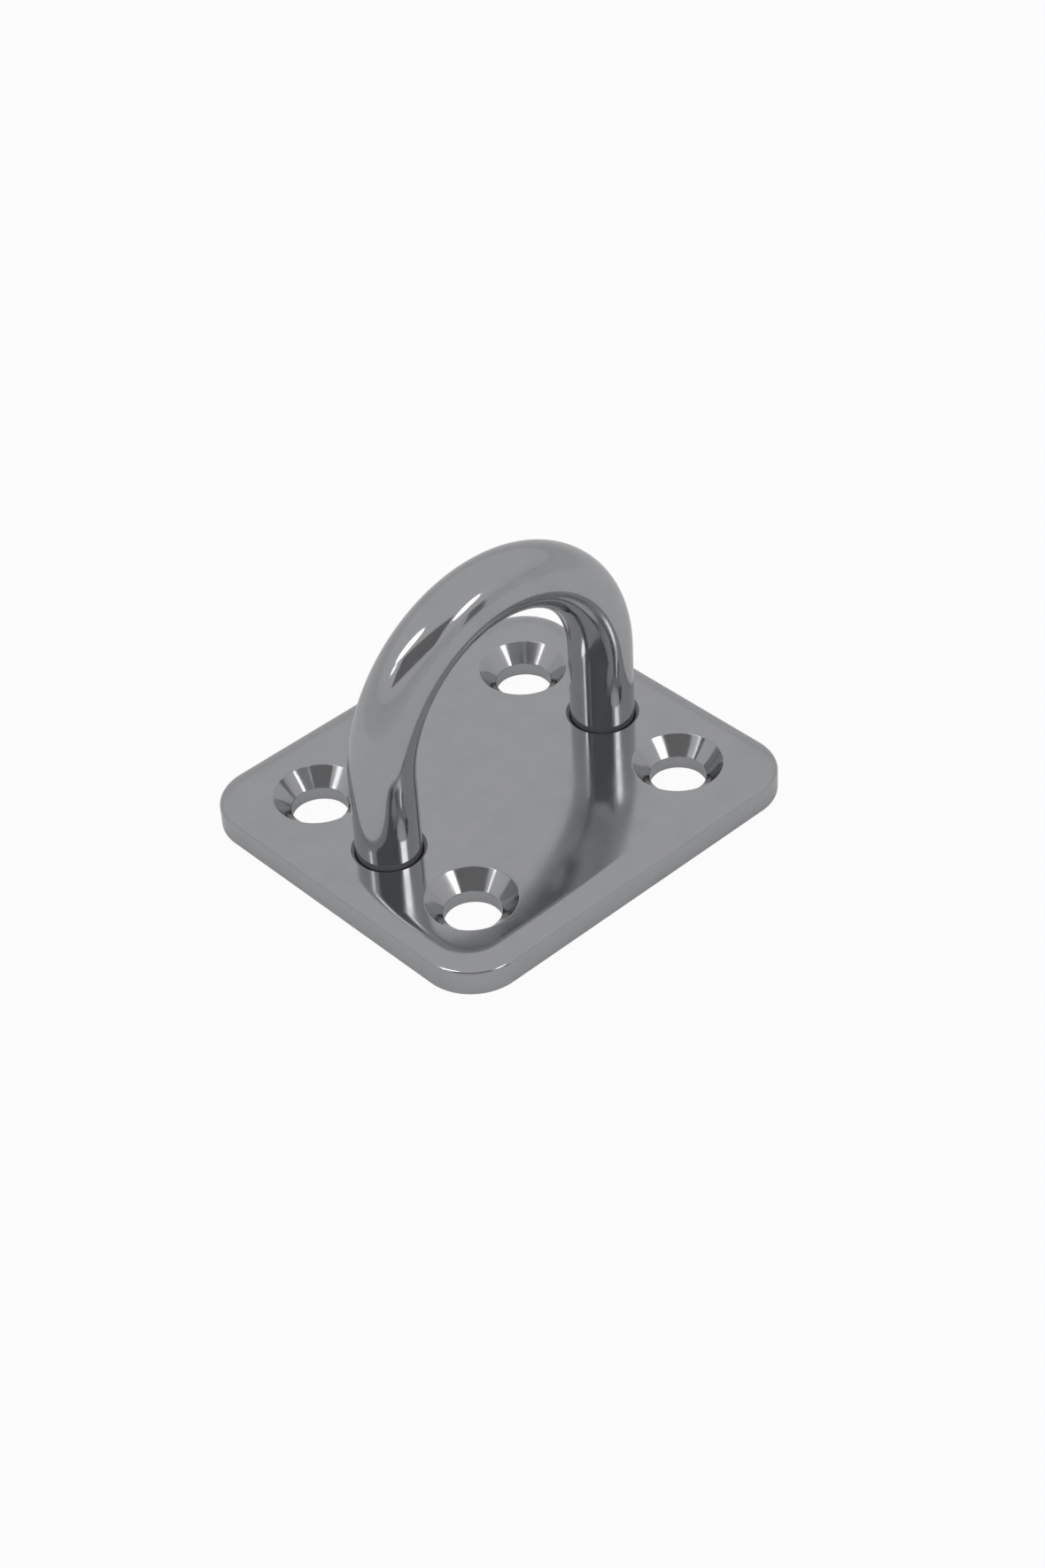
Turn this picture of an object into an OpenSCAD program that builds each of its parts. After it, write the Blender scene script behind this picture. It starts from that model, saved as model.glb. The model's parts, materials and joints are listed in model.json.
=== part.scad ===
// Pad eye: a round bar bent into an eye, with its legs let into a base plate and plug welded from below.
// +Z is up, away from the deck. The origin is the centre of the plate's underside. X runs from leg to leg.

/* [Plate] */
// Length of the plate, along X
plate_length = 41; // [33:0.5:60]
// Width of the plate, along Y
plate_width = 36.5; // [31.5:0.5:60]
// Thickness of the plate
plate_thickness = 3; // [2.5:0.1:6]
// Radius of the plate's corners, seen from above
corner_radius = 5; // [3:0.5:9]
// Width of the band along the plate's edge where polishing has rolled the top face off
edge_roll_width = 2.5; // [1.5:0.1:2.9]
// Radius of that rolled band, in section
edge_roll_radius = 5.5; // [4.5:0.5:12]
// Radius where the rolled band meets the side wall, in section
top_edge_radius = 0.5; // [0.3:0.1:0.8]
// Radius of the deburred edge round the underside
bottom_edge_radius = 0.25; // [0.1:0.05:0.5]

/* [Eye] */
// Diameter of the round bar that the eye is bent from
bar_diameter = 6; // [4:0.2:8]
// Distance from the end of the plate to the axis of a leg
leg_margin = 7.25; // [6:0.25:9]
// Straight part of a leg, from the plate's top face up to where the bend starts
leg_straight = 7.75; // [3:0.25:20]

/* [Leg holes and welds] */
// Radial gap between a leg and its hole in the plate
leg_clearance = 0.1; // [0.02:0.01:0.15]
// Bevel round the mouth of a leg hole, on the top face
mouth_bevel = 0.3; // [0.1:0.05:0.5]
// Depth of the bevel under the plate that the weld metal fills
weld_depth = 1.2; // [0.8:0.1:1.6]
// Height of a leg's cut end above the underside
leg_end_height = 0.6; // [0.3:0.1:0.7]

/* [Screw holes] */
// Diameter of a screw hole
screw_hole_diameter = 5.2; // [4:0.1:6.6]
// Diameter of a countersink, on the top face
countersink_diameter = 8.3; // [7:0.1:9]
// Bevel where a screw hole leaves the underside
hole_bevel = 0.2; // [0.1:0.05:0.4]
// Distance from the end of the plate to the axis of a screw hole, along X
screw_margin_x = 7.75; // [7:0.25:10]
// Distance from the side of the plate to the axis of a screw hole, along Y
screw_margin_y = 8; // [7:0.25:10]

/* [Hidden] */
$fn = 96;
steel = [0.57, 0.575, 0.58];
weld_steel = [0.47, 0.46, 0.45];
// A cutter runs this far past the face that it leaves by
overcut = 1;

bar_radius = bar_diameter / 2;
leg_x = plate_length / 2 - leg_margin;
bend_height = plate_thickness + leg_straight;
leg_hole_radius = bar_radius + leg_clearance;
roll_run = edge_roll_width - top_edge_radius;
roll_reach = edge_roll_radius - top_edge_radius;
// Height of the side wall, up to where its top edge starts to turn
wall_height = plate_thickness - edge_roll_radius + sqrt(roll_reach * roll_reach - roll_run * roll_run);
// Distance from the side wall in to where the rolled band hands over to the edge's own radius
handover = edge_roll_width - edge_roll_radius * roll_run / roll_reach;
corner_x = plate_length / 2 - corner_radius;
corner_y = plate_width / 2 - corner_radius;
screw_x = plate_length / 2 - screw_margin_x;
screw_y = plate_width / 2 - screw_margin_y;
screw_hole_radius = screw_hole_diameter / 2;
countersink_radius = countersink_diameter / 2;

// A 45 degree cone that widens a round hole towards the face it leaves by, as a cutter.
// The face is at z = 0 and the hole lies below it. mouth_radius is the radius in the face.
module bevel_cutter(hole_radius, mouth_radius) {
    depth = mouth_radius - hole_radius;
    translate([0, 0, -depth])
        cylinder(h = depth + overcut, r1 = hole_radius, r2 = mouth_radius + overcut);
}

// Half of the plate's cross-section, from x = 0 out to the side wall at x = reach. The flat top runs
// into the rolled band, which runs into the edge's own radius, which runs into the side wall.
module edge_profile(reach) {
    square([reach - edge_roll_width, plate_thickness]);
    intersection() {
        translate([reach - edge_roll_width, plate_thickness - edge_roll_radius])
            circle(edge_roll_radius);
        translate([reach - edge_roll_width, wall_height])
            square([edge_roll_width - handover, plate_thickness - wall_height]);
    }
    translate([reach - top_edge_radius, wall_height])
        circle(top_edge_radius);
    translate([0, bottom_edge_radius])
        square([reach, wall_height - bottom_edge_radius]);
    square([reach - bottom_edge_radius, wall_height]);
    translate([reach - bottom_edge_radius, bottom_edge_radius])
        circle(bottom_edge_radius);
}

// A straight stretch of the plate with its rounded edge facing +X
module edge_run(reach, length) {
    rotate([90, 0, 0])
        translate([0, 0, -length / 2])
            linear_extrude(length)
                edge_profile(reach);
}

// The plate before it is drilled: two halves of a middle band, two ends and four turned corners
module plate_blank() {
    for (turn = [90, -90])
        rotate([0, 0, turn])
            edge_run(plate_width / 2, 2 * corner_x);
    for (turn = [0, 180])
        rotate([0, 0, turn]) {
            translate([corner_x, 0, 0])
                edge_run(corner_radius, 2 * corner_y);
            translate([corner_x, corner_y, 0])
                rotate_extrude(angle = 90)
                    edge_profile(corner_radius);
            translate([corner_x, -corner_y, 0])
                rotate([0, 0, -90])
                    rotate_extrude(angle = 90)
                        edge_profile(corner_radius);
        }
}

// A screw hole with a 90 degree countersink above and a small bevel below, as a cutter
module screw_hole() {
    translate([0, 0, -overcut])
        cylinder(h = plate_thickness + 2 * overcut, r = screw_hole_radius);
    translate([0, 0, plate_thickness])
        bevel_cutter(screw_hole_radius, countersink_radius);
    mirror([0, 0, 1])
        bevel_cutter(screw_hole_radius, screw_hole_radius + hole_bevel);
}

// A leg's hole, bevelled at its mouth above and more deeply below for the weld, as a cutter
module leg_hole() {
    translate([0, 0, -overcut])
        cylinder(h = plate_thickness + 2 * overcut, r = leg_hole_radius);
    translate([0, 0, plate_thickness])
        bevel_cutter(leg_hole_radius, leg_hole_radius + mouth_bevel);
    mirror([0, 0, 1])
        bevel_cutter(leg_hole_radius, leg_hole_radius + weld_depth);
}

// One straight leg, from its cut end inside the plate up to where the bend starts
module leg() {
    translate([0, 0, leg_end_height])
        cylinder(h = bend_height - leg_end_height, r = bar_radius);
}

// Flat plate with four countersunk screw holes and two leg holes
module base_plate() {
    color(steel)
        difference() {
            plate_blank();
            for (x = [-screw_x, screw_x], y = [-screw_y, screw_y])
                translate([x, y, 0])
                    screw_hole();
            for (x = [-leg_x, leg_x])
                translate([x, 0, 0])
                    leg_hole();
        }
}

// Round bar bent half a turn between two straight legs
module eye_bow() {
    color(steel) {
        translate([0, 0, bend_height])
            rotate([90, 0, 0])
                rotate_extrude(angle = 180)
                    translate([leg_x, 0])
                        circle(bar_radius);
        for (x = [-leg_x, leg_x])
            translate([x, 0, 0])
                leg();
    }
}

// Plug of weld metal that fills the lower bevel and covers a leg's end, ground flush with the underside
module leg_weld(x) {
    color(weld_steel)
        translate([x, 0, 0])
            difference() {
                cylinder(h = weld_depth, r1 = leg_hole_radius + weld_depth, r2 = leg_hole_radius);
                leg();
            }
}

base_plate();
eye_bow();
leg_weld(-leg_x);  // weld_left
leg_weld(leg_x);  // weld_right
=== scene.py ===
# %% [markdown]
# # A polished pad eye
#
# A pad eye is a small deck fitting: an eye to clip a shackle or tie a line to. This one is a length of
# round stainless bar bent into a U. Its legs stand in two holes of a flat plate and are welded from
# below, and the weld is ground flush. Then the whole fitting is polished until it mirrors the room.
# A mirror shows every flaw of the mesh below it, so this lesson is about clean curved surfaces, small
# rounded edges and a studio worth reflecting.
#
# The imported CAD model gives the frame: the sizes and places of the plate, the bar and the welds. Each
# piece below is made again from those sizes, with finer surfaces than the CAD mesh has.

# %% Load the frame
import json
import math

import bmesh
import bpy
from mathutils import Matrix, Vector, geometry


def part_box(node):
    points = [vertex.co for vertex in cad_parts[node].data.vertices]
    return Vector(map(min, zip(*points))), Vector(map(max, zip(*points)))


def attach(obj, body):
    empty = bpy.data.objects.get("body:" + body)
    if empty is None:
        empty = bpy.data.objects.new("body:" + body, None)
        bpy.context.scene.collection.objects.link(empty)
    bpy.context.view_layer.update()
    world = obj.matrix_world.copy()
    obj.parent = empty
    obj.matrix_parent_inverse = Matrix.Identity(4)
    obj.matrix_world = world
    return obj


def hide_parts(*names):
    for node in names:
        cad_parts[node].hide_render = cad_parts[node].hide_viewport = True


MM = 0.001
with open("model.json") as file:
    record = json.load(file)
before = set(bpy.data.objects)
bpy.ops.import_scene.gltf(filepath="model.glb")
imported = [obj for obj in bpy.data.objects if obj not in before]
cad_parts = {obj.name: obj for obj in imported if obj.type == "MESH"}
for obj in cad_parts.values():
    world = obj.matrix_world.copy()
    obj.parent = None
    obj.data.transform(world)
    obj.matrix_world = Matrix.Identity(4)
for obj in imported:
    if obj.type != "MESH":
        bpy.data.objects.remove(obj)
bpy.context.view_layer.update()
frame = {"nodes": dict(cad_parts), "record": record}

# %% [markdown]
# ## Sizes from the frame
#
# Nothing is typed in twice. The boxes of the nodes give the plate and the bar, the record gives the
# screw pattern, and the edges that the drills left in the CAD mesh give the radii of their holes: a
# hole's edge is a ring of vertices in the face that it leaves by, so the nearest vertex to the hole's
# axis in that face lies on the ring.

# %% Sizes of the plate, the bar and the holes
plate_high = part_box("base_plate")[1]
bow_low, bow_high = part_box("eye_bow")
weld_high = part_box("weld_right")[1]
HALF_LENGTH = plate_high[0]
HALF_WIDTH = plate_high[1]
THICKNESS = plate_high[2]
BAR_RADIUS = bow_high[1]
LEG_X = bow_high[0] - BAR_RADIUS
LEG_END = bow_low[2]
BEND_Z = bow_high[2] - BAR_RADIUS - LEG_X
WELD_DEPTH = weld_high[2]

mounts = {m["name"]: m for m in frame["record"]["mounts"]}
screws = mounts["screw_holes"]["dims"]
SCREW_X = screws["spacing_x_mm"] / 2 * MM
SCREW_Y = screws["spacing_y_mm"] / 2 * MM
SCREW_RADIUS = screws["hole_r_mm"] * MM

plate_points = [v.co.copy() for v in frame["nodes"]["base_plate"].data.vertices]
SAME = 0.001 * MM


def ring_radius(x, y, z):
    """Distance from a hole's axis to the nearest vertex of the plate in the plane at height z."""
    return min(math.hypot(p.x - x, p.y - y) for p in plate_points if abs(p.z - z) < SAME)


end_wall = [p.z for p in plate_points if abs(p.x - HALF_LENGTH) < SAME]
side_wall = [p.x for p in plate_points if abs(p.y - HALF_WIDTH) < SAME]
WALL_TOP = max(end_wall)
BOTTOM_EDGE = min(end_wall)
ROLL_WIDTH = HALF_LENGTH - max(p.x for p in plate_points if abs(p.z - THICKNESS) < SAME)
CORNER_RADIUS = HALF_LENGTH - max(side_wall)
SINK_RADIUS = ring_radius(SCREW_X, SCREW_Y, THICKNESS)
SCREW_EXIT = ring_radius(SCREW_X, SCREW_Y, 0)
MOUTH_RADIUS = ring_radius(LEG_X, 0, THICKNESS)
WELD_RADIUS = ring_radius(LEG_X, 0, 0)
LEG_HOLE = WELD_RADIUS - WELD_DEPTH
measured = {
    "half length": HALF_LENGTH, "half width": HALF_WIDTH, "thickness": THICKNESS,
    "corner radius": CORNER_RADIUS, "top of the wall": WALL_TOP, "rolled band": ROLL_WIDTH,
    "bottom edge": BOTTOM_EDGE, "bar radius": BAR_RADIUS, "leg from the middle": LEG_X,
    "leg end": LEG_END, "start of the bend": BEND_Z, "weld depth": WELD_DEPTH,
    "weld radius": WELD_RADIUS, "leg hole": LEG_HOLE, "mouth of the leg hole": MOUTH_RADIUS,
    "screw hole": SCREW_RADIUS, "countersink": SINK_RADIUS, "screw hole below": SCREW_EXIT}
for name, size in measured.items():
    print(f"{name:22s}{size / MM:8.3f} mm")

# %% [markdown]
# ## The camera
#
# The fitting is seen from above its near corner through a long lens, so its parallel edges hardly
# converge. The camera leans a little, as one held by hand does: that is the roll.

# %% Camera
CAMERA_AZIMUTH = math.radians(-41.2)
CAMERA_ELEVATION = math.radians(39.7)
CAMERA_ROLL = math.radians(-3.5)
CAMERA_DISTANCE = 277.4 * MM
CAMERA_TARGET = Vector((3.24, 0.45, 0)) * MM
LENS = 69.3
SENSOR = 36
NEAREST, FARTHEST = 0.01, 20

back = Vector((math.sin(CAMERA_AZIMUTH) * math.cos(CAMERA_ELEVATION),
               -math.cos(CAMERA_AZIMUTH) * math.cos(CAMERA_ELEVATION),
               math.sin(CAMERA_ELEVATION)))
level = Vector((0, 0, 1)).cross(back).normalized()
across = Matrix.Rotation(CAMERA_ROLL, 3, back) @ level
upward = back.cross(across)
camera_data = bpy.data.cameras.new("camera")
camera_data.lens = LENS
camera_data.sensor_width = SENSOR
camera_data.clip_start = NEAREST
camera_data.clip_end = FARTHEST
camera = bpy.data.objects.new("camera", camera_data)
camera.matrix_world = Matrix((across, upward, back)).transposed().to_4x4()
camera.location = CAMERA_TARGET + back * CAMERA_DISTANCE
bpy.context.collection.objects.link(camera)
bpy.context.scene.camera = camera
print("camera at, mm:", [round(v / MM, 1) for v in camera.location])

# %% [markdown]
# ## Edges that catch the light
#
# No edge on a polished part is sharp. Sanding and buffing round each one by a tenth of a millimetre or
# so, and that thin band is what draws a line of light along it. A bevel modifier could do it, but the
# profile of each edge is known here, so the corners of the profile are rounded before it is swept.
# Each arc also gets a short straight step on either side. The step holds the shading of the flat face
# beside it true, because every vertex of that face then has the face's own normal.

# %% Rounding the corners of a profile


def soften(corners, radii, arc_steps=6, step=0.03 * MM):
    """Points along a broken line with each inner corner turned into an arc."""
    corners = [Vector(c) for c in corners]
    line = [corners[0]]
    for before, corner, after, radius in zip(corners, corners[1:], corners[2:], radii):
        arrive = (corner - before).normalized()
        leave = (after - corner).normalized()
        turn = math.atan2(arrive.cross(leave), arrive.dot(leave))
        reach = radius * math.tan(abs(turn) / 2)
        start = corner - arrive * reach
        centre = start + Vector((-arrive.y, arrive.x)) * math.copysign(radius, turn)
        line.append(start - arrive * step)
        for i in range(arc_steps + 1):
            line.append(centre + Matrix.Rotation(turn * i / arc_steps, 2) @ (start - centre))
        line.append(corner + leave * (reach + step))
    return [*line, corners[-1]]


sample = soften([(-1, 0), (0, 0), (0, -1)], [0.2], step=0.01)
print("a corner becomes", len(sample), "points")

# %% [markdown]
# ## Rings and lofts
#
# Both shapes on this part are rings joined by quads: an outline that shrinks as it climbs over the
# plate's edge, and circles that shrink and widen down a drilled hole. All the rings of one loft have the
# same number of points, so every face between them is a clean quad that follows the curve.

# %% Rings of vertices and the quads between them
CORNER_STEPS = 28
STRAIGHT_STEPS = 22
HOLE_STEPS = 96


def outline_ring(inset):
    """The plate's outline, moved inwards, as points round the plate."""
    reach_x, reach_y = HALF_LENGTH - CORNER_RADIUS, HALF_WIDTH - CORNER_RADIUS
    centres = [(reach_x, reach_y), (-reach_x, reach_y), (-reach_x, -reach_y), (reach_x, -reach_y)]
    arcs = []
    for quarter, centre in enumerate(centres):
        angles = [math.pi / 2 * (quarter + i / CORNER_STEPS) for i in range(CORNER_STEPS + 1)]
        arcs.append([Vector(centre) + (CORNER_RADIUS - inset) * Vector((math.cos(a), math.sin(a)))
                     for a in angles])
    ring = []
    for arc, following in zip(arcs, arcs[1:] + arcs[:1]):
        ring += arc
        ring += [arc[-1].lerp(following[0], i / STRAIGHT_STEPS) for i in range(1, STRAIGHT_STEPS)]
    return ring


def circle_ring(x, y, radius, steps=HOLE_STEPS):
    """A circle of points round a vertical axis."""
    angles = [2 * math.pi * i / steps for i in range(steps)]
    return [Vector((x + radius * math.cos(a), y + radius * math.sin(a))) for a in angles]


def loft(mesh, profile, ring_at, slot=0):
    """Makes one ring for each (offset, height) of a profile and joins neighbours with quads."""
    rings = [[mesh.verts.new((p.x, p.y, height)) for p in ring_at(offset)]
             for offset, height in profile]
    for lower, upper in zip(rings, rings[1:]):
        for i in range(len(lower)):
            j = (i + 1) % len(lower)
            mesh.faces.new((lower[i], lower[j], upper[j], upper[i])).material_index = slot
    return rings[0], rings[-1]


# %% [markdown]
# ## Flat faces without stray shading
#
# The two flat faces have a rounded outline and six holes. One n-gon could fill them, but it would be cut
# into long thin triangles that catch the light in odd ways. Here a grid of points is laid inside the
# face, a constrained Delaunay triangulation joins it to the rings, and neighbouring triangles are paired
# into quads.

# %% Filling a flat face
GRID = 0.9 * MM
FLAT_PAIR = 0.1
SQUARE_PAIR = math.radians(50)


def depth_inside(point, inset):
    """How far a point lies inside the plate's outline, moved inwards by inset."""
    beyond_x = max(abs(point.x) - (HALF_LENGTH - CORNER_RADIUS), 0)
    beyond_y = max(abs(point.y) - (HALF_WIDTH - CORNER_RADIUS), 0)
    to_wall = min(HALF_LENGTH - abs(point.x), HALF_WIDTH - abs(point.y))
    if beyond_x > 0 and beyond_y > 0:
        to_wall = CORNER_RADIUS - math.hypot(beyond_x, beyond_y)
    return to_wall - inset


def fill_flat(mesh, outline, holes, inset, slot):
    """Fills the face between an outline ring and its hole rings; holes are (x, y, radius, ring)."""
    height = outline[0].co.z
    verts = list(outline)
    edges = [(i, (i + 1) % len(outline)) for i in range(len(outline))]
    for x, y, radius, ring in holes:
        start = len(verts)
        edges += [(start + i, start + (i + 1) % len(ring)) for i in range(len(ring))]
        verts += ring
    points = [v.co.xy for v in verts]
    columns, rows = int(HALF_LENGTH / GRID), int(HALF_WIDTH / GRID)
    for i in range(-columns, columns + 1):
        for j in range(-rows, rows + 1):
            p = Vector((i * GRID, j * GRID))
            off_holes = all(math.hypot(p.x - x, p.y - y) > r + GRID / 2 for x, y, r, ring in holes)
            if off_holes and depth_inside(p, inset) > GRID / 2:
                points.append(p)
    coords, _, triangles, sources, _, _ = geometry.delaunay_2d_cdt(points, edges, [], 0, SAME / 100)
    made = [verts[s[0]] if s[0] < len(verts) else mesh.verts.new((*c, height))
            for c, s in zip(coords, sources)]
    faces = []
    for triangle in triangles:
        middle = sum((coords[i] for i in triangle), Vector((0, 0))) / 3
        in_metal = all(math.hypot(middle.x - x, middle.y - y) > r for x, y, r, ring in holes)
        if in_metal and depth_inside(middle, inset) > SAME:
            faces.append(mesh.faces.new([made[i] for i in triangle]))
            faces[-1].material_index = slot
    bmesh.ops.join_triangles(mesh, faces=faces, angle_face_threshold=FLAT_PAIR,
                             angle_shape_threshold=SQUARE_PAIR)


# %% [markdown]
# ## Finishing a mesh
#
# Every piece ends the same way: its faces are turned to point outwards and shaded smooth, it takes its
# finishes, it is hung from the body it moves with, and the CAD node it stands for is hidden.

# %% From mesh data to a piece of the frame


def finish_piece(name, mesh, materials, node):
    """Makes the object and ties it to the frame."""
    bmesh.ops.recalc_face_normals(mesh, faces=mesh.faces)
    data = bpy.data.meshes.new(name)
    mesh.to_mesh(data)
    mesh.free()
    data.polygons.foreach_set("use_smooth", [True] * len(data.polygons))
    for material in materials:
        data.materials.append(material)
    piece = bpy.data.objects.new(name, data)
    bpy.context.collection.objects.link(piece)
    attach(piece, "root")
    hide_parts(node)
    print(f"{name}: {len(data.vertices)} vertices, {len(data.polygons)} faces")


# %% [markdown]
# ## Colours and nodes
#
# Colours are written as sRGB hex, the way a paint chart gives them, and turned to linear light once. One
# small function adds a shader node with its settings and what feeds its inputs. Two more make what
# nearly every finish here is built on: noise with grains of a chosen length in each direction, and the
# distance from the nearest hole. The holes mirror each other, so |x| and |y| fold them all onto one.

# %% Helpers for materials


def linear(code):
    """A colour such as '#A0A2A5' as linear RGBA."""
    parts = [int(code[i:i + 2], 16) / 255 for i in (1, 3, 5)]
    return (*[c / 12.92 if c <= 0.04045 else ((c + 0.055) / 1.055) ** 2.4 for c in parts], 1)


def add_node(tree, kind, inputs, **settings):
    """Adds a node, sets its properties, and fills each input with a value or another node's output."""
    made = tree.nodes.new(kind)
    for key, value in settings.items():
        setattr(made, key, value)
    for key, value in inputs.items():
        if isinstance(value, bpy.types.NodeSocket):
            tree.links.new(value, made.inputs[key])
        else:
            made.inputs[key].default_value = value
    return made


def new_material(name):
    """An empty node material, its tree, its output node and its texture coordinates, all in metres."""
    material = bpy.data.materials.new(name)
    material.use_nodes = True
    tree = material.node_tree
    tree.nodes.clear()
    output = add_node(tree, "ShaderNodeOutputMaterial", {})
    coords = add_node(tree, "ShaderNodeTexCoord", {}).outputs
    return material, tree, output, coords


def grain(tree, place, size, detail=2.0):
    """Noise between 0 and 1 whose grains have the length, width and height given as size."""
    counted = add_node(tree, "ShaderNodeVectorMath", {0: place, 1: [1 / s for s in size]},
                       operation="MULTIPLY")
    return add_node(tree, "ShaderNodeTexNoise", {"Vector": counted.outputs[0], "Scale": 1.0,
                                                 "Detail": detail}).outputs["Fac"]


def from_axis(tree, place, x, y):
    """The step from the nearest of the upright axes at (+-x, +-y) to a point, and how long it is."""
    folded = add_node(tree, "ShaderNodeVectorMath", {0: place}, operation="ABSOLUTE")
    moved = add_node(tree, "ShaderNodeVectorMath", {0: folded.outputs[0], 1: (x, y, 0)},
                     operation="SUBTRACT")
    step = add_node(tree, "ShaderNodeVectorMath", {0: moved.outputs[0], 1: (1, 1, 0)},
                    operation="MULTIPLY").outputs[0]
    length = add_node(tree, "ShaderNodeVectorMath", {0: step}, operation="LENGTH")
    return step, length.outputs["Value"]


def show(tree, output, surface):
    """Makes a shader node the surface of its material, or of the world."""
    tree.links.new(surface.outputs[0], output.inputs["Surface"])


STEEL = "#BCBDBF"
print("steel grey in linear light:", [round(c, 3) for c in linear(STEEL)])

# %% [markdown]
# ## Mirror polished stainless steel
#
# The metal is 316 stainless, a neutral grey. Mirror polish is made with finer and finer belts and then a
# cloth wheel with compound. What gives it away as real is that it is never a perfect mirror, and three
# small faults say so:
#
# - it swims: over a few millimetres the surface rises and falls by microns, where the wheel lingered;
# - it is hazy in patches, where the compound was wiped off and dried;
# - it keeps the last fine lines of the belt. Real ones are about 0.02 mm wide. Here they are drawn six
#   times wider, so that a picture this size can hold them, and very shallow.
#
# The same builder makes the plate and the bar. They differ in which way the lines run: along the plate,
# and round the bar, which is why the bar gets texture coordinates that follow it.

# %% The polished metal
STEEL_WIPED = "#B7B9BB"
NOISE_LOW, NOISE_HIGH = 0.3, 0.7
SMEAR = 2.5 * MM
LINE_WIDTH = 0.12 * MM
LINE_DEPTH = 0.0004 * MM
SWIM_DEPTH = 0.004 * MM


def polished_stainless(name, coordinates, line_size, haze, swim_size):
    """Mirror polish. haze is the roughness, swim_size the length of the waves left by the wheel."""
    material, tree, output, coords = new_material(name)
    place = coords["Object"]
    swim = grain(tree, place, [swim_size] * 3, detail=1.0)
    lines = grain(tree, coords[coordinates], line_size)
    smears = grain(tree, place, [SMEAR] * 3, detail=4.0)
    waves = add_node(tree, "ShaderNodeBump", {"Height": swim, "Distance": SWIM_DEPTH})
    scratched = add_node(tree, "ShaderNodeBump", {"Height": lines, "Distance": LINE_DEPTH,
                                                  "Normal": waves.outputs["Normal"]})
    cloudy = add_node(tree, "ShaderNodeMapRange", {
        "Value": smears, "From Min": NOISE_LOW, "From Max": NOISE_HIGH, "To Min": haze * 0.8,
        "To Max": haze * 1.2})
    lined = add_node(tree, "ShaderNodeMapRange", {"Value": lines, "From Min": 0.5, "From Max": 0.75,
                                                  "To Min": 0.0, "To Max": haze * 0.4})
    blur = add_node(tree, "ShaderNodeMath", {0: cloudy.outputs[0], 1: lined.outputs[0]}, operation="ADD")
    wiped = add_node(tree, "ShaderNodeMapRange", {"Value": smears, "From Min": 0.45, "From Max": 0.75})
    tint = add_node(tree, "ShaderNodeMix", {0: wiped.outputs[0], 6: linear(STEEL),
                                            7: linear(STEEL_WIPED)}, data_type="RGBA")
    show(tree, output, add_node(tree, "ShaderNodeBsdfPrincipled", {
        "Base Color": tint.outputs[2], "Metallic": 1.0, "Roughness": blur.outputs[0],
        "Normal": scratched.outputs["Normal"]}))
    return material


# Sheet polished on a belt and a cloth wheel: the eye reads a flat, slightly cloudy mirror.
plate_steel = polished_stainless("sheet_stainless_wheel_polished", "Object",
                                 line_size=(9 * MM, LINE_WIDTH, LINE_WIDTH), haze=0.115,
                                 swim_size=7 * MM)
# Bar polished after bending, turned against the wheel: a cleaner mirror with lines round the bar.
bar_steel = polished_stainless("bar_stainless_wheel_polished", "UV",
                               line_size=(6 * MM, LINE_WIDTH, 1 * MM), haze=0.085,
                               swim_size=5 * MM)
print("polished finishes:", plate_steel.name, "and", bar_steel.name)

# %% [markdown]
# ## Steel turned by a countersink
#
# The countersinks were cut after the sheet was polished, then buffed with a small cone. A turned surface
# keeps rings from the feed of the tool, and a faint pattern of ribs where the tool chattered. The rings
# are a sine wave of the distance from the hole's axis, and the ribs one of the bearing round it.

# %% The countersinks
FEED = 0.12 * MM
FEED_DEPTH = 0.0004 * MM
RIBS = 14
RIB_DEPTH = 0.006 * MM
BUFFED_PATCH = 1.2 * MM
BUFFED_ROUGHNESS = (0.10, 0.16)

# Turned and lightly buffed: the eye reads a cone, from streaks that all point at the hole.
sink_steel, tree, output, coords = new_material("countersink_stainless_turned")
step, distance = from_axis(tree, coords["Object"], SCREW_X, SCREW_Y)
turns = add_node(tree, "ShaderNodeMath", {0: distance, 1: 2 * math.pi / FEED}, operation="MULTIPLY")
feed_rings = add_node(tree, "ShaderNodeMath", {0: turns.outputs[0]}, operation="SINE")
sides = add_node(tree, "ShaderNodeSeparateXYZ", {0: step}).outputs
bearing = add_node(tree, "ShaderNodeMath", {0: sides[1], 1: sides[0]}, operation="ARCTAN2")
many = add_node(tree, "ShaderNodeMath", {0: bearing.outputs[0], 1: RIBS}, operation="MULTIPLY")
ribs = add_node(tree, "ShaderNodeMath", {0: many.outputs[0]}, operation="SINE")
ring_bump = add_node(tree, "ShaderNodeBump", {"Height": feed_rings.outputs[0], "Distance": FEED_DEPTH})
rib_bump = add_node(tree, "ShaderNodeBump", {"Height": ribs.outputs[0], "Distance": RIB_DEPTH,
                                             "Normal": ring_bump.outputs["Normal"]})
patchy = add_node(tree, "ShaderNodeMapRange", {
    "Value": grain(tree, coords["Object"], [BUFFED_PATCH] * 3, detail=3.0), "From Min": NOISE_LOW,
    "From Max": NOISE_HIGH, "To Min": BUFFED_ROUGHNESS[0], "To Max": BUFFED_ROUGHNESS[1]})
show(tree, output, add_node(tree, "ShaderNodeBsdfPrincipled", {
    "Base Color": linear(STEEL), "Metallic": 1.0, "Roughness": patchy.outputs[0],
    "Normal": rib_bump.outputs["Normal"]}))
print(f"countersinks: a ring every {FEED / MM:.2f} mm, {RIBS} chatter ribs")

# %% [markdown]
# ## Polishing compound in the gap
#
# Between each leg and the mouth of its hole is a groove no wheel can reach. The compound packs into it
# as a dull grey wax. It is the one thing on this fitting that isn't metal, and it draws the dark ring at
# the foot of each leg. Because it scatters light, the ring stays a soft grey instead of going black.

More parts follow.
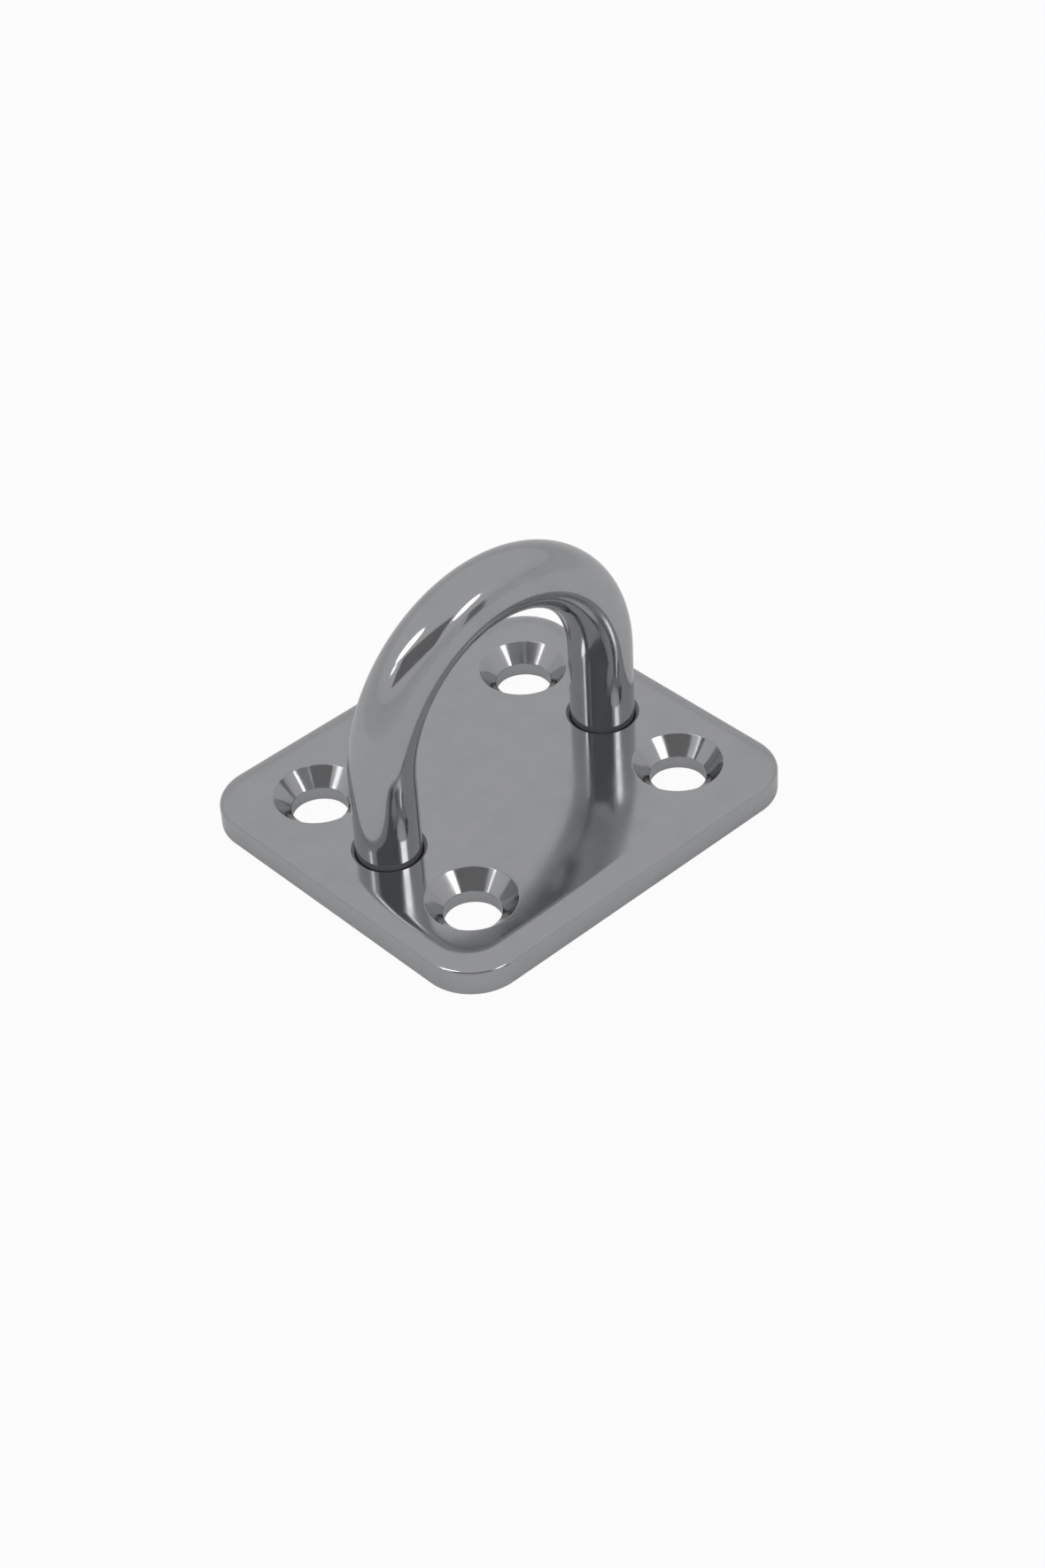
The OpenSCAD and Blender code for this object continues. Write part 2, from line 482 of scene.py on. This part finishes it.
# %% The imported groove
CRUMB = 0.15 * MM
CRUMB_DEPTH = 0.01 * MM
STAIN = 1.5 * MM

# Dried wax with crumbs in it: the eye reads a soft dark line that parts the bar from the plate.
packed_groove, tree, output, coords = new_material("polishing_compound_packed")
crumbs = grain(tree, coords["Object"], [CRUMB] * 3, detail=3.0)
stain = grain(tree, coords["Object"], [STAIN] * 3)
mottle = add_node(tree, "ShaderNodeMix", {0: stain, 6: linear("#9A9B9D"), 7: linear("#B4B5B7")},
                  data_type="RGBA")
lumps = add_node(tree, "ShaderNodeBump", {"Height": crumbs, "Distance": CRUMB_DEPTH})
show(tree, output, add_node(tree, "ShaderNodeBsdfPrincipled", {
    "Base Color": mottle.outputs[2], "Roughness": 0.6, "Normal": lumps.outputs["Normal"]}))
print("the groove is filled with", packed_groove.name)

# %% [markdown]
# ## The underside
#
# Nobody sees the underside once the fitting is screwed down, so it stops at the belt: long parallel lines
# and a satin sheen. Welding heats the plate around each leg. The oxide that grows there is straw yellow
# near the weld and fades outwards, and a quick pass of the belt leaves only a trace of it.

# %% The linished underside
BELT_LINES = (14 * MM, 0.10 * MM, 1 * MM)
BELT_DEPTH = 0.003 * MM
SATIN_ROUGHNESS = (0.26, 0.42)
TINT_REACH = 2.6 * MM
TINT_STRENGTH = 0.55
TINT_PATCH = 3 * MM

# Belt-ground sheet: the eye reads a satin grey with a direction to it.
underside_steel, tree, output, coords = new_material("sheet_stainless_linished")
belt = grain(tree, coords["Object"], BELT_LINES)
scored = add_node(tree, "ShaderNodeBump", {"Height": belt, "Distance": BELT_DEPTH})
satin = add_node(tree, "ShaderNodeMapRange", {
    "Value": belt, "From Min": NOISE_LOW, "From Max": NOISE_HIGH, "To Min": SATIN_ROUGHNESS[0],
    "To Max": SATIN_ROUGHNESS[1]})
_, distance = from_axis(tree, coords["Object"], LEG_X, 0)
heated = add_node(tree, "ShaderNodeMapRange", {
    "Value": distance, "From Min": WELD_RADIUS, "From Max": WELD_RADIUS + TINT_REACH,
    "To Min": TINT_STRENGTH, "To Max": 0.0})
patches = grain(tree, coords["Object"], [TINT_PATCH] * 3)
uneven = add_node(tree, "ShaderNodeMath", {0: heated.outputs[0], 1: patches}, operation="MULTIPLY")
straw = add_node(tree, "ShaderNodeMix", {0: uneven.outputs[0], 6: linear("#B0B0AF"),
                                         7: linear("#A68C5E")}, data_type="RGBA")
show(tree, output, add_node(tree, "ShaderNodeBsdfPrincipled", {
    "Base Color": straw.outputs[2], "Metallic": 1.0, "Roughness": satin.outputs[0],
    "Normal": scored.outputs["Normal"]}))
print("underside:", underside_steel.name)

# %% [markdown]
# ## Ground weld
#
# Each weld was ground flush with a small disc. The disc leaves arcs rather than straight lines: rings
# round the leg, pushed out of true by noise. Gas trapped in the weld shows as a few open pores, and their
# colour is darkened as painted shade inside each hole.

# %% The ground weld
SWIRL_PITCH = 0.22 * MM
SWIRL_DEPTH = 0.0015 * MM
WANDER = 14.0
WANDER_SIZE = 0.8 * MM
PORE_SPACING = 0.9 * MM
PORE_EDGE = (0.05, 0.12)
PORE_DEPTH = 0.03 * MM

# Disc-ground weld metal: the eye reads a duller patch with swirls in it.
weld_steel, tree, output, coords = new_material("weld_stainless_disc_ground")
_, distance = from_axis(tree, coords["Object"], LEG_X, 0)
swirl = add_node(tree, "ShaderNodeMath", {0: distance, 1: 2 * math.pi / SWIRL_PITCH},
                 operation="MULTIPLY")
drift = grain(tree, coords["Object"], [WANDER_SIZE] * 3)
wander = add_node(tree, "ShaderNodeMath", {0: drift, 1: WANDER}, operation="MULTIPLY")
path = add_node(tree, "ShaderNodeMath", {0: swirl.outputs[0], 1: wander.outputs[0]}, operation="ADD")
marks = add_node(tree, "ShaderNodeMath", {0: path.outputs[0]}, operation="SINE")
cells = add_node(tree, "ShaderNodeTexVoronoi", {"Vector": coords["Object"], "Scale": 1 / PORE_SPACING})
pores = add_node(tree, "ShaderNodeMapRange", {"Value": cells.outputs["Distance"],
                                              "From Min": PORE_EDGE[0], "From Max": PORE_EDGE[1]})
swirled = add_node(tree, "ShaderNodeBump", {"Height": marks.outputs[0], "Distance": SWIRL_DEPTH})
pitted = add_node(tree, "ShaderNodeBump", {"Height": pores.outputs[0], "Distance": PORE_DEPTH,
                                           "Normal": swirled.outputs["Normal"]})
# The colour darkens in each pore: painted shade inside the open holes.
pore_shade_tint = add_node(tree, "ShaderNodeMix", {0: pores.outputs[0], 6: linear("#4A4744"),
                                         7: linear("#A5A29D")}, data_type="RGBA")
show(tree, output, add_node(tree, "ShaderNodeBsdfPrincipled", {
    "Base Color": pore_shade_tint.outputs[2], "Metallic": 1.0, "Roughness": 0.38,
    "Normal": pitted.outputs["Normal"]}))
print("welds:", weld_steel.name)

# %% [markdown]
# ## The plate
#
# The plate is cut from 3 mm sheet and its corners are rounded. The polishing belt is soft, so it rolls
# the top edge over: a wide shallow curve that tightens into a round of half a millimetre at the wall.
# That curve is why the plate shows a pale band all the way round. Its profile is two arcs that share a
# tangent. The CAD model fixes how wide and how deep the band is, and the radius of the shallow arc
# follows from those.
#
# Each screw hole has a 90 degree countersink, and each leg hole a small bevel at its mouth. The bevel and
# the narrow gap below it carry the dull finish of the compound packed in them.

# %% Build the plate
RIM = 0.10 * MM
BURR = 0.06 * MM
HOLE_MARGIN = 0.25 * MM
WALL_STEP = 0.05 * MM
TOP_INSET = ROLL_WIDTH + 0.5 * MM
BOTTOM_INSET = 1.0 * MM
EDGE_ROUND = 0.5 * MM
ROLL_STEPS, EDGE_STEPS = 18, 10
TOP, SINK, GROOVE, UNDERSIDE = range(4)
plate_mesh = bmesh.new()

fall, run = THICKNESS - WALL_TOP, ROLL_WIDTH - EDGE_ROUND
roll_radius = (run ** 2 + fall ** 2 - EDGE_ROUND ** 2) / 2 / (fall - EDGE_ROUND)
handover = math.asin(run / (roll_radius - EDGE_ROUND))
print(f"rolled band: radius {roll_radius / MM:.2f} mm, it turns {math.degrees(handover):.1f} degrees")

edge_profile = [(TOP_INSET, THICKNESS), (ROLL_WIDTH + WALL_STEP, THICKNESS)]
for i in range(ROLL_STEPS):
    tilt = handover * i / ROLL_STEPS
    edge_profile.append((ROLL_WIDTH - roll_radius * math.sin(tilt),
                         THICKNESS - roll_radius * (1 - math.cos(tilt))))
for i in range(EDGE_STEPS + 1):
    tilt = handover + (math.pi / 2 - handover) * i / EDGE_STEPS
    edge_profile.append((EDGE_ROUND * (1 - math.sin(tilt)), WALL_TOP + EDGE_ROUND * math.cos(tilt)))
edge_profile += soften([(0, WALL_TOP - WALL_STEP), (0, 0), (BOTTOM_INSET, 0)], [BOTTOM_EDGE])
top_outline, bottom_outline = loft(plate_mesh, edge_profile, outline_ring)

top_holes, bottom_holes = [], []
for x in (-SCREW_X, SCREW_X):
    for y in (-SCREW_Y, SCREW_Y):
        top_radius, bottom_radius = SINK_RADIUS + HOLE_MARGIN, SCREW_EXIT + HOLE_MARGIN
        sink_floor = THICKNESS - (SINK_RADIUS - SCREW_RADIUS)
        profile = soften(
            [(top_radius, THICKNESS), (SINK_RADIUS, THICKNESS), (SCREW_RADIUS, sink_floor),
             (SCREW_RADIUS, SCREW_EXIT - SCREW_RADIUS), (SCREW_EXIT, 0), (bottom_radius, 0)],
            [RIM, RIM, BURR, BURR])
        top, bottom = loft(plate_mesh, profile, lambda r: circle_ring(x, y, r), SINK)
        top_holes.append((x, y, top_radius, top))
        bottom_holes.append((x, y, bottom_radius, bottom))
for x in (-LEG_X, LEG_X):
    top_radius, bottom_radius = MOUTH_RADIUS + HOLE_MARGIN, WELD_RADIUS + HOLE_MARGIN
    profile = soften(
        [(top_radius, THICKNESS), (MOUTH_RADIUS, THICKNESS),
         (LEG_HOLE, THICKNESS - (MOUTH_RADIUS - LEG_HOLE)), (LEG_HOLE, WELD_DEPTH), (WELD_RADIUS, 0),
         (bottom_radius, 0)],
        [RIM / 2, RIM, RIM, RIM / 2])
    top, bottom = loft(plate_mesh, profile, lambda r: circle_ring(x, 0, r), GROOVE)
    top_holes.append((x, 0, top_radius, top))
    bottom_holes.append((x, 0, bottom_radius, bottom))
fill_flat(plate_mesh, top_outline, top_holes, TOP_INSET, TOP)
fill_flat(plate_mesh, bottom_outline, bottom_holes, BOTTOM_INSET, UNDERSIDE)

# What lies flat in the top face is wheel polished, and what lies flat in the underside is linished.
for face in plate_mesh.faces:
    heights = [v.co.z for v in face.verts]
    if face.material_index in (SINK, GROOVE) and max(heights) - min(heights) < SAME:
        face.material_index = TOP if heights[0] > THICKNESS / 2 else UNDERSIDE
    if face.material_index == TOP and max(heights) < SAME:
        face.material_index = UNDERSIDE
finish_piece("plate", plate_mesh, [plate_steel, sink_steel, packed_groove, underside_steel],
             "base_plate")

# %% [markdown]
# ## The bar
#
# One piece of 6 mm bar, bent round a former into a half circle with two straight legs, is a circle swept
# along that path. The rings are close together in the bend, because a mirror shows each flat facet. The
# texture coordinates run round the bar and along it in metres. Their seam lies on the inside of the bow,
# where few lines can be seen to stop. The last rings at each end shrink, which breaks the sawn edge.

# %% Build the bar
BAR_STEPS = 72
BEND_STEPS = 96
LEG_STEPS = 14
END_ROUND = 0.15 * MM
END_STEPS = 4


def bar_stations():
    """Centre, outward direction and radius along the bar, from the left leg's end to the right's."""
    tilts = [math.pi / 2 * i / END_STEPS for i in range(END_STEPS)]
    leg = [(LEG_END + END_ROUND * (1 - math.cos(t)),
            BAR_RADIUS - END_ROUND * (1 - math.sin(t))) for t in tilts]
    straight = BEND_Z - LEG_END - END_ROUND
    leg += [(LEG_END + END_ROUND + straight * i / LEG_STEPS, BAR_RADIUS) for i in range(LEG_STEPS)]
    stations = [(Vector((-LEG_X, 0, z)), Vector((-1, 0, 0)), radius) for z, radius in leg]
    for i in range(BEND_STEPS + 1):
        angle = math.pi * (1 - i / BEND_STEPS)
        out = Vector((math.cos(angle), 0, math.sin(angle)))
        stations.append((Vector((0, 0, BEND_Z)) + out * LEG_X, out, BAR_RADIUS))
    stations += [(Vector((LEG_X, 0, z)), Vector((1, 0, 0)), radius) for z, radius in reversed(leg)]
    return stations


bar_mesh = bmesh.new()
around_along = bar_mesh.loops.layers.uv.new("around_along")
sideways = Vector((0, 1, 0))
stations = bar_stations()
rings, lengths = [], [0]
for centre, out, radius in stations:
    angles = [math.pi + 2 * math.pi * i / BAR_STEPS for i in range(BAR_STEPS)]
    rings.append([bar_mesh.verts.new(centre + radius * (out * math.cos(a) + sideways * math.sin(a)))
                  for a in angles])
for before, after in zip(stations, stations[1:]):
    lengths.append(lengths[-1] + (after[0] - before[0]).length)
girth = 2 * math.pi * BAR_RADIUS / BAR_STEPS
for k in range(len(rings) - 1):
    for i in range(BAR_STEPS):
        j = (i + 1) % BAR_STEPS
        face = bar_mesh.faces.new((rings[k][i], rings[k][j], rings[k + 1][j], rings[k + 1][i]))
        for loop, (u, v) in zip(face.loops, ((i, k), (i + 1, k), (i + 1, k + 1), (i, k + 1))):
            loop[around_along].uv = (u * girth, lengths[v])
for ring in (rings[0], rings[-1]):
    bar_mesh.faces.new(ring)
finish_piece("bar", bar_mesh, [bar_steel], "eye_bow")
print(f"bar: {lengths[-1] / MM:.1f} mm long along its middle")

# %% [markdown]
# ## The welds
#
# The leg holes widen downwards into a V, and the weld fills that V and covers the end of the leg. From
# below it shows as a disc that was ground flush with the plate. Each bead is turned from the profile of
# its section, a hair smaller than the V that it sits in, so that a fine dark line shows where it ends.

# %% Build the welds
WELD_GAP = 0.02 * MM
WELD_SUNK = 0.01 * MM
WELD_MIDDLE = 0.3 * MM
WELD_RIM = 0.05 * MM
WELD_INNER = 0.01 * MM
WELD_STEP = 0.005 * MM

for node, side in (("weld_left", -1), ("weld_right", 1)):
    weld_mesh = bmesh.new()
    over_end = LEG_END - WELD_GAP
    profile = soften(
        [(WELD_MIDDLE, WELD_SUNK), (WELD_RADIUS - WELD_GAP, WELD_SUNK),
         (LEG_HOLE - WELD_GAP, WELD_DEPTH), (BAR_RADIUS + WELD_GAP, WELD_DEPTH),
         (BAR_RADIUS + WELD_GAP, over_end), (WELD_MIDDLE, over_end)],
        [WELD_RIM, WELD_INNER, WELD_INNER, WELD_INNER], step=WELD_STEP)
    bottom, top = loft(weld_mesh, profile, lambda r: circle_ring(side * LEG_X, 0, r))
    weld_mesh.faces.new(bottom)
    weld_mesh.faces.new(top)
    finish_piece(node + "_bead", weld_mesh, [weld_steel], node)

# %% [markdown]
# ## The studio
#
# Polished metal has no look of its own: it shows the room. This room is a tent of pale cloth, lit from
# outside, so nearly all that the metal sees is one even light grey. A wide dark gap, where the camera
# looks in, and a softbox on either side of it break that grey, and they draw every streak on the fitting.
# They hang well above the horizon, so a view from low down sees little but the pale sweep.
#
# Near its foot the tent fades to the grey of the paper in its own shade, so that no line shows in the
# metal where the paper ends and the cloth begins.

# %% The tent
TENT = 0.58
TENT_FOOT = 0.54
TENT_FOOT_ANGLE = math.radians(18)
TENT_EVEN_ANGLE = math.radians(39)

world = bpy.data.worlds.new("tent")
bpy.context.scene.world = world
world.use_nodes = True
tree = world.node_tree
tree.nodes.clear()
output = add_node(tree, "ShaderNodeOutputWorld", {})
direction = add_node(tree, "ShaderNodeTexCoord", {}).outputs["Generated"]
rise = add_node(tree, "ShaderNodeSeparateXYZ", {0: direction}).outputs["Z"]
fade = add_node(tree, "ShaderNodeMapRange", {
    "Value": rise, "From Min": math.sin(TENT_FOOT_ANGLE), "From Max": math.sin(TENT_EVEN_ANGLE),
    "To Min": TENT_FOOT, "To Max": TENT}, interpolation_type="SMOOTHSTEP")
show(tree, output, add_node(tree, "ShaderNodeBackground", {"Color": (1, 1, 1, 1),
                                                           "Strength": fade.outputs[0]}))
print("the tent is", TENT, "of white, and", TENT_FOOT, "at its foot")

# %% [markdown]
# ### Softboxes and the dark gap
#
# Each hangs at the same distance, so many degrees round from the camera and so many degrees up, and
# faces the fitting. A softbox is an oval area lamp. Its power follows from how bright it should look: a
# flat lamp of area A that looks as bright as L gives off pi A L watts. A slender oval gives a slender
# streak on a round bar, because the bar squeezes what it shows to a thin line, and the lean of the oval
# decides how long that line grows. The low one lights the streak up the side of each leg, which sees the
# room by way of the plate.
#
# The dark cloth is wide, so that the gap goes on from one softbox nearly to the other: the edge between
# dark and bright is what makes polished metal look polished. A small dark flag low on the right puts a
# dark edge under the right-hand streak.

# %% Hanging things round the fitting
HANG_DISTANCE = 0.8


def hang(thing, around, up, lean=0):
    """Hangs a thing round degrees to the camera's right and up degrees above the floor, face inwards.

    lean turns it in its own plane, anticlockwise as the fitting sees it.
    """
    turn, rise = CAMERA_AZIMUTH + math.radians(around), math.radians(up)
    away = Vector((math.sin(turn) * math.cos(rise), -math.cos(turn) * math.cos(rise), math.sin(rise)))
    level = Vector((0, 0, 1)).cross(away).normalized()
    frame_axes = Matrix((level, away.cross(level), away)).transposed().to_4x4()
    thing.matrix_world = frame_axes @ Matrix.Rotation(math.radians(lean), 4, "Z")
    thing.location = away * HANG_DISTANCE
    bpy.context.collection.objects.link(thing)


def softbox(name, around, up, lean, length, width, glow):
    """An oval area lamp that looks glow times as bright as white."""
    lamp = bpy.data.lights.new(name, "AREA")
    lamp.shape = "ELLIPSE"
    lamp.size, lamp.size_y = length, width
    lamp.energy = math.pi * (math.pi / 4 * length * width) * glow
    hang(bpy.data.objects.new(name, lamp), around, up, lean)
    print(f"{name}: {lamp.energy:.2f} W")


softbox("softbox_left", around=-63, up=56, lean=62, length=0.42, width=0.16, glow=2.6)
softbox("softbox_low", around=-63, up=40, lean=90, length=0.10, width=0.09, glow=1.6)
softbox("softbox_right", around=54, up=43, lean=15, length=0.26, width=0.14, glow=2.6)

# Woven grey cloth: the metal mirrors it as the dark bands down the legs and along the bow.
dark_cloth, tree, output, coords = new_material("dark_cloth")
show(tree, output, add_node(tree, "ShaderNodeBsdfDiffuse", {"Color": linear("#ABABAB")}))


def dark_panel(name, around, up, width, height):
    """A sheet of dark cloth that the camera never sees, but the metal does."""
    mesh = bmesh.new()
    bmesh.ops.create_grid(mesh, x_segments=2, y_segments=2, size=0.5)
    bmesh.ops.scale(mesh, vec=(width, height, 1), verts=mesh.verts)
    data = bpy.data.meshes.new(name)
    mesh.to_mesh(data)
    mesh.free()
    data.materials.append(dark_cloth)
    panel = bpy.data.objects.new(name, data)
    panel.visible_camera = False
    hang(panel, around, up)


dark_panel("tent_gap", around=-4, up=47, width=0.88, height=0.34)
dark_panel("dark_flag", around=60, up=15, width=0.12, height=0.24)

# %% [markdown]
# ### The paper sweep
#
# The fitting stands on white paper that curves up all round it, so there is no horizon to be seen. To
# the camera most of its white is its own, which keeps it white without a brighter lamp, and the rest is
# lit, which keeps the shadow. In mirrored light a smaller share is its own. The paper is clear from
# below, and to the very short rays that leave the fitting's underside, so that a view from below works.

# %% The paper
SWEEP_MIDDLE = 0.3
SWEEP_RADIUS = 1.4
SWEEP_CURVE = 0.5
SWEEP_HEIGHT = 0.55
SWEEP_STEPS = 12
FLOOR_DROP = 0.02 * MM
NEAR_UNDERSIDE = 0.03 * MM
SEEN_WHITE = 0.95
MIRRORED_WHITE = 0.15

sweep_mesh = bmesh.new()
sweep_profile = [(SWEEP_MIDDLE, 0)]
for i in range(SWEEP_STEPS + 1):
    angle = math.pi / 2 * i / SWEEP_STEPS
    sweep_profile.append((SWEEP_RADIUS - SWEEP_CURVE + SWEEP_CURVE * math.sin(angle),
                          SWEEP_CURVE - SWEEP_CURVE * math.cos(angle)))
sweep_profile.append((SWEEP_RADIUS, SWEEP_HEIGHT))
middle = loft(sweep_mesh, sweep_profile, lambda r: circle_ring(0, 0, r))[0]
level_part = sweep_mesh.faces.new(middle)
bmesh.ops.recalc_face_normals(sweep_mesh, faces=sweep_mesh.faces)
if level_part.normal.z < 0:
    bmesh.ops.reverse_faces(sweep_mesh, faces=sweep_mesh.faces)
floor_data = bpy.data.meshes.new("floor")
sweep_mesh.to_mesh(floor_data)
sweep_mesh.free()
floor_data.polygons.foreach_set("use_smooth", [True] * len(floor_data.polygons))
floor = bpy.data.objects.new("floor", floor_data)
bpy.context.collection.objects.link(floor)
floor.location.z = -FLOOR_DROP

# Matt white paper: the eye reads a bright, even ground with a faint shadow on it.
floor_paper, tree, output, coords = new_material("floor_paper")
paper = add_node(tree, "ShaderNodeBsdfDiffuse", {"Color": linear("#E9E9E9")})
white = add_node(tree, "ShaderNodeEmission", {"Color": (1, 1, 1, 1), "Strength": 1.0})
ray = add_node(tree, "ShaderNodeLightPath", {}).outputs
mirrored = add_node(tree, "ShaderNodeMath", {0: ray["Is Glossy Ray"], 1: ray["Is Transmission Ray"]},
                    operation="MAXIMUM")
mirrored_part = add_node(tree, "ShaderNodeMath", {0: mirrored.outputs[0], 1: MIRRORED_WHITE},
                         operation="MULTIPLY")
seen_part = add_node(tree, "ShaderNodeMath", {0: ray["Is Camera Ray"], 1: SEEN_WHITE},
                     operation="MULTIPLY")
own_white = add_node(tree, "ShaderNodeMath", {0: mirrored_part.outputs[0], 1: seen_part.outputs[0]},
                     operation="MAXIMUM")
lit = add_node(tree, "ShaderNodeMixShader", {"Fac": own_white.outputs[0], 1: paper.outputs[0],
                                             2: white.outputs[0]})
face = add_node(tree, "ShaderNodeNewGeometry", {}).outputs
short = add_node(tree, "ShaderNodeMath", {0: ray["Ray Length"], 1: NEAR_UNDERSIDE},
                 operation="LESS_THAN")
passes = add_node(tree, "ShaderNodeMath", {0: face["Backfacing"], 1: short.outputs[0]},
                  operation="MAXIMUM")
clear = add_node(tree, "ShaderNodeBsdfTransparent", {})
show(tree, output, add_node(tree, "ShaderNodeMixShader", {
    "Fac": passes.outputs[0], 1: lit.outputs[0], 2: clear.outputs[0]}))
floor_data.materials.append(floor_paper)
bpy.context.scene.view_settings.view_transform = "Standard"
print(f"the paper is {SWEEP_RADIUS * 2:.1f} m across and {SWEEP_HEIGHT:.2f} m high at its rim")
